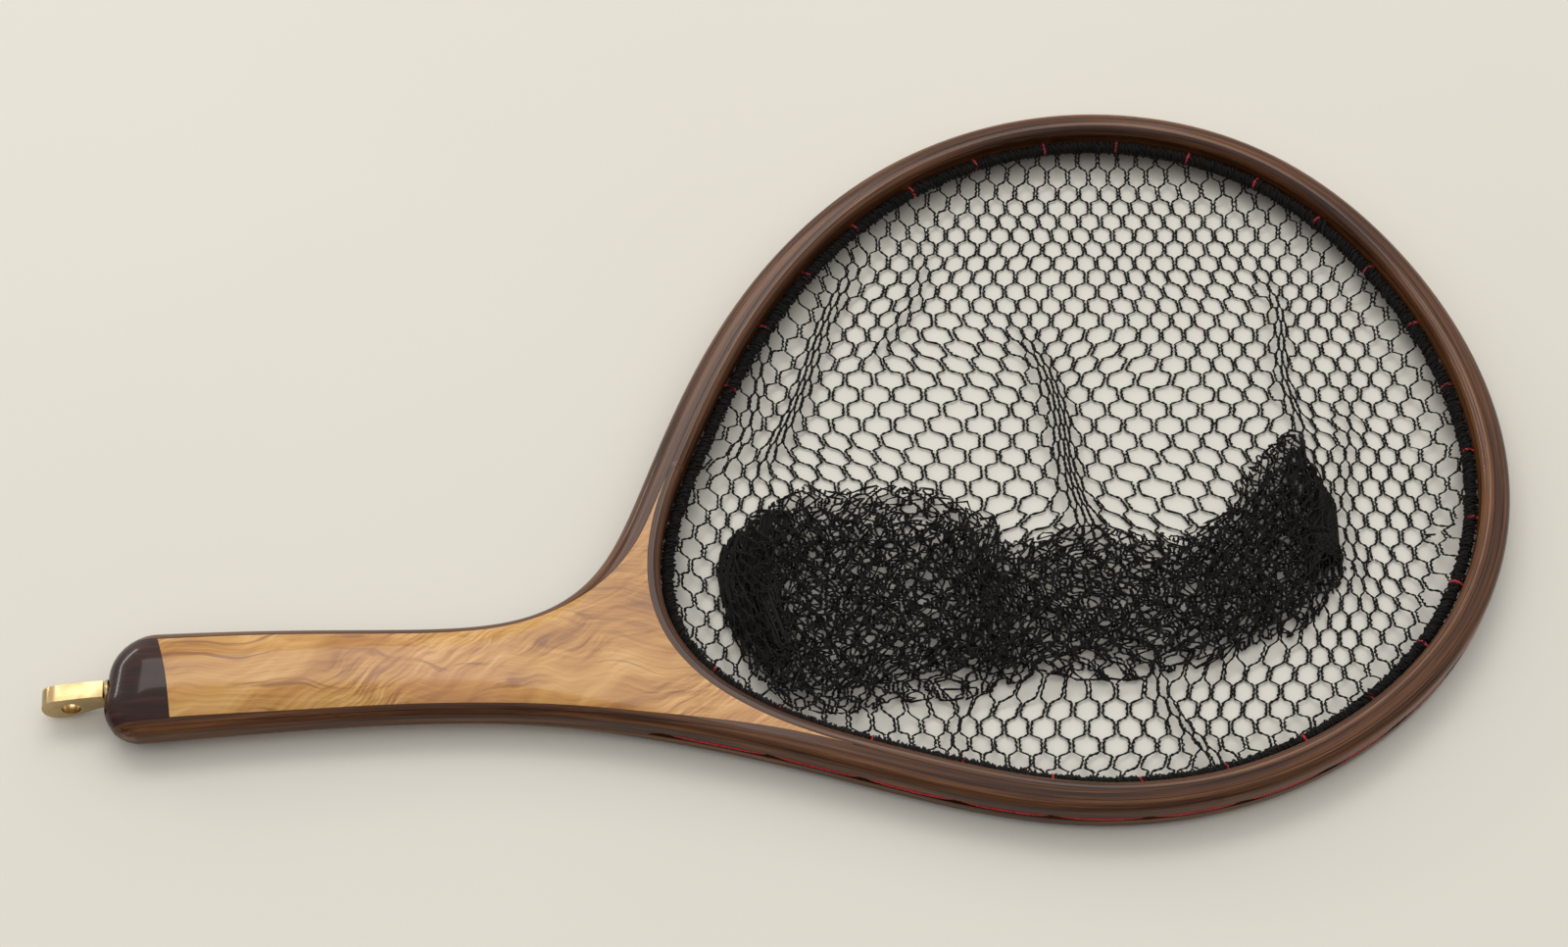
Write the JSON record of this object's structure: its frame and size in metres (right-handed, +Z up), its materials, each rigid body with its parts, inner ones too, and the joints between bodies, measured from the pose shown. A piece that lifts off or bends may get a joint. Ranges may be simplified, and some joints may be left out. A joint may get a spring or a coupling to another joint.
{
  "type": "landing net",
  "caption": "Wooden hand landing net: laminated hoop and handle with a figured core, dark butt cap, brass swivel eye, and a soft dark net bag laced into a groove with red thread.",
  "frame": {"origin": "on the ground, under the middle of the net's bounding box as it lies flat", "axes": "+X from the handle's butt to the tip of the hoop, +Y to the hoop's far side, +Z up"},
  "size_m": [0.561, 0.3352, 0.021],
  "materials": {
    "walnut_outer": "dark brown straight-grained hardwood under clear gloss lacquer",
    "walnut_dark": "darker brown hardwood under clear gloss lacquer",
    "figured_core": "golden curly figured hardwood under clear gloss lacquer",
    "dark_cap_wood": "red-black tropical hardwood polished to a high gloss",
    "polished_brass": "polished, with rounded edges",
    "washer_nylon": "natural nylon",
    "spring_steel": "plain spring steel",
    "netting": "soft matt knotless nylon netting",
    "red_thread": "twisted red nylon thread"
  },
  "bodies": {
    "net": {"outer_lamination_outside": "walnut_outer", "outer_lamination_inside": "walnut_dark", "inner_lamination_outside": "walnut_outer", "inner_lamination_inside": "walnut_dark", "handle_core": "figured_core", "butt_cap": "dark_cap_wood", "eye_bush": "polished_brass", "thrust_washer": "washer_nylon", "net_bag": "netting", "net_border_cord": "netting", "lacing_thread": "red_thread"},
    "swivel_eye": {"eye_tongue": "polished_brass", "snap_ring": "spring_steel"}
  },
  "joints": [
    {"name": "eye_swivel", "type": "hinge", "parent": "net", "child": "swivel_eye", "pos_m": [-0.25593, -0.11665, 0.0105], "axis": [-0.9903, -0.1392, 0], "continuous": true}
  ]
}
